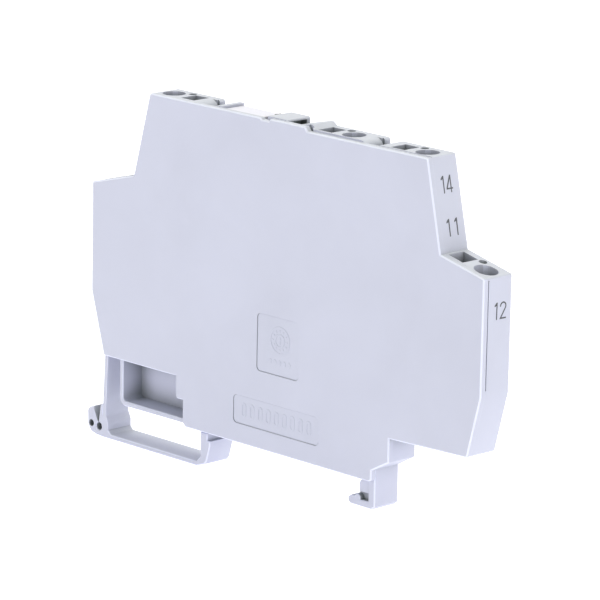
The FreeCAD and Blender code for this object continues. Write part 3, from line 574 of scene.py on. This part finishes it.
def build_flexing_arm():
    bm = bmesh.new()
    rows = [[bm.verts.new(corner) for corner in arm_section(z)] for z in ARM_LEVELS]
    for a, b in zip(rows, rows[1:]):
        for i in range(4):
            j = (i + 1) % 4
            bm.faces.new((a[i], a[j], b[j], b[i]))
    bm.faces.new(rows[0][::-1])
    bm.faces.new(rows[-1])
    arm = add_softened("flexing_arm", bm, MATERIALS["grey_moulding"], radius=0.14,
                       segments=3, angle=40)
    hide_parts("foot_flex_arm")
    # the rounding is baked into the mesh
    bpy.context.view_layer.update()
    depsgraph = bpy.context.evaluated_depsgraph_get()
    baked = bpy.data.meshes.new_from_object(arm.evaluated_get(depsgraph))
    arm.modifiers.clear()
    arm.data = baked
    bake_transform(arm)


# ---------------------------------------------------------------- camera
CAMERA_AT = (490.190, -474.895, 189.349)     # working millimetres
AZIMUTH = math.radians(45.795)               # from -Y towards +X
ELEVATION = math.radians(13.5125)
ROLL = math.radians(1.1306)


def add_camera():
    """Adds the camera and returns the direction from the module towards it."""
    backward = Vector((math.sin(AZIMUTH) * math.cos(ELEVATION),
                       -math.cos(AZIMUTH) * math.cos(ELEVATION), math.sin(ELEVATION)))
    right = (-backward).cross(Vector((0, 0, 1))).normalized()
    up = right.cross(-backward)
    rolled_right = math.cos(ROLL) * right + math.sin(ROLL) * up
    rolled_up = -math.sin(ROLL) * right + math.cos(ROLL) * up
    data = bpy.data.cameras.new("photo_camera")
    data.sensor_width = 36.0
    data.sensor_fit = "HORIZONTAL"
    data.lens = 260.27256
    data.clip_start = 0.01
    data.clip_end = 20.0
    camera = link_object("photo_camera", data)
    pose = Matrix((rolled_right, rolled_up, backward)).transposed().to_4x4()
    pose.translation = point(*CAMERA_AT)
    camera.matrix_world = pose
    bpy.context.scene.camera = camera
    return backward


# ---------------------------------------------------------------- floor sweep
FLOOR_GAP = 0.00002
SWEEP_RADIUS, SWEEP_REACH = 0.9, 2.6
SWEEP_TOP, SWEEP_HALF_WIDTH = 3.2, 4.0
SWEEP_STEPS = 16


def paper_material():
    """Pale paper, slightly glowing, with a faint unevenness."""
    material, shader, surface = new_material("pale_paper")
    coords = shader.add("TexCoord").outputs["Object"]
    cloud = shader.noise(coords, scale=3.0, detail=3.0, roughness=0.5)
    shader.feed(surface, {
        "Base Color": shader.mix(cloud, (0.54, 0.54, 0.545), (0.56, 0.56, 0.565)),
        "Emission Color": shader.mix(cloud, (0.925, 0.925, 1.0), (0.935, 0.935, 1.0)),
        "Emission Strength": 0.87, "Roughness": 0.9, "Specular IOR Level": 0.1})
    return material


def build_floor(backward):
    """A floor that curves up into a backdrop on the far side from the camera."""
    bend = SWEEP_REACH - SWEEP_RADIUS
    profile = [(-SWEEP_REACH, 0.0), (bend, 0.0)]
    for i in range(1, SWEEP_STEPS + 1):
        a = math.pi / 2 * i / SWEEP_STEPS
        profile.append((bend + SWEEP_RADIUS * math.sin(a),
                        SWEEP_RADIUS - SWEEP_RADIUS * math.cos(a)))
    profile.append((SWEEP_REACH, SWEEP_TOP))

    floor_z = CAD_BOX[0][2] - FLOOR_GAP
    away = Vector((-backward.x, -backward.y, 0)).normalized()
    side = Vector((away.y, -away.x, 0)) * SWEEP_HALF_WIDTH
    bm = bmesh.new()
    rows = []
    for distance, height in profile:
        middle = away * distance + Vector((0, 0, floor_z + height))
        rows.append((bm.verts.new(middle + side), bm.verts.new(middle - side)))
    for a, b in zip(rows, rows[1:]):
        bm.faces.new((a[0], a[1], b[1], b[0])).smooth = True
    mesh = bpy.data.meshes.new("floor_sweep")
    bm.to_mesh(mesh)
    bm.free()
    mesh.materials.append(paper_material())
    link_object("floor_sweep", mesh)


# ---------------------------------------------------------------- light
def build_world():
    """Ambient light, warm grey below and greener and dimmer above."""
    world = bpy.data.worlds.new("studio")
    world.use_nodes = True
    shader = Shader(world.node_tree)
    direction = shader.add("TexCoord").outputs["Generated"]
    z = shader.add("SeparateXYZ", {0: direction}).outputs["Z"]
    height = shader.plus(shader.times(z, 0.5), 0.5)      # -1..1 to 0..1
    sky = shader.ramp(height, (0.0, (0.56, 0.55, 0.52)), (0.5, (0.56, 0.55, 0.52)),
                      (0.62, (0.46, 0.465, 0.41)), (1.0, (0.39, 0.42, 0.33)))
    shader.feed(world.node_tree.nodes["Background"], {0: sky, 1: 1.0})
    bpy.context.scene.world = world


def add_softbox(name, location, size, power, color):
    """A rectangular light aimed at the module."""
    target = Vector((0.0, 0.0, 0.025))
    data = bpy.data.lights.new(name, "AREA")
    data.shape = "RECTANGLE"
    data.size, data.size_y = size
    data.energy = power
    data.color = color
    light = link_object(name, data)
    light.location = location
    aim = target - Vector(location)
    light.rotation_euler = aim.to_track_quat("-Z", "Y").to_euler()


# ---------------------------------------------------------------- assembly
build_field_inserts()
build_date_dial()
build_tool_mark_bars()
build_contact_numbers()
build_flexing_arm()
build_floor(add_camera())
build_world()
add_softbox("front_softbox", location=(-0.25, -0.95, 0.40), size=(0.9, 0.7), power=3.0,
            color=(0.97, 0.95, 1.0))
add_softbox("side_softbox", location=(0.95, 0.05, 0.22), size=(0.8, 0.40), power=2.9,
            color=(0.97, 0.95, 1.0))
add_softbox("top_softbox", location=(0.0, 0.2, 1.1), size=(0.8, 0.8), power=7.6,
            color=(1.0, 1.0, 0.82))

view = bpy.context.scene.view_settings
view.view_transform = "Standard"
view.look = "None"
view.exposure = 0.0
view.gamma = 1.0
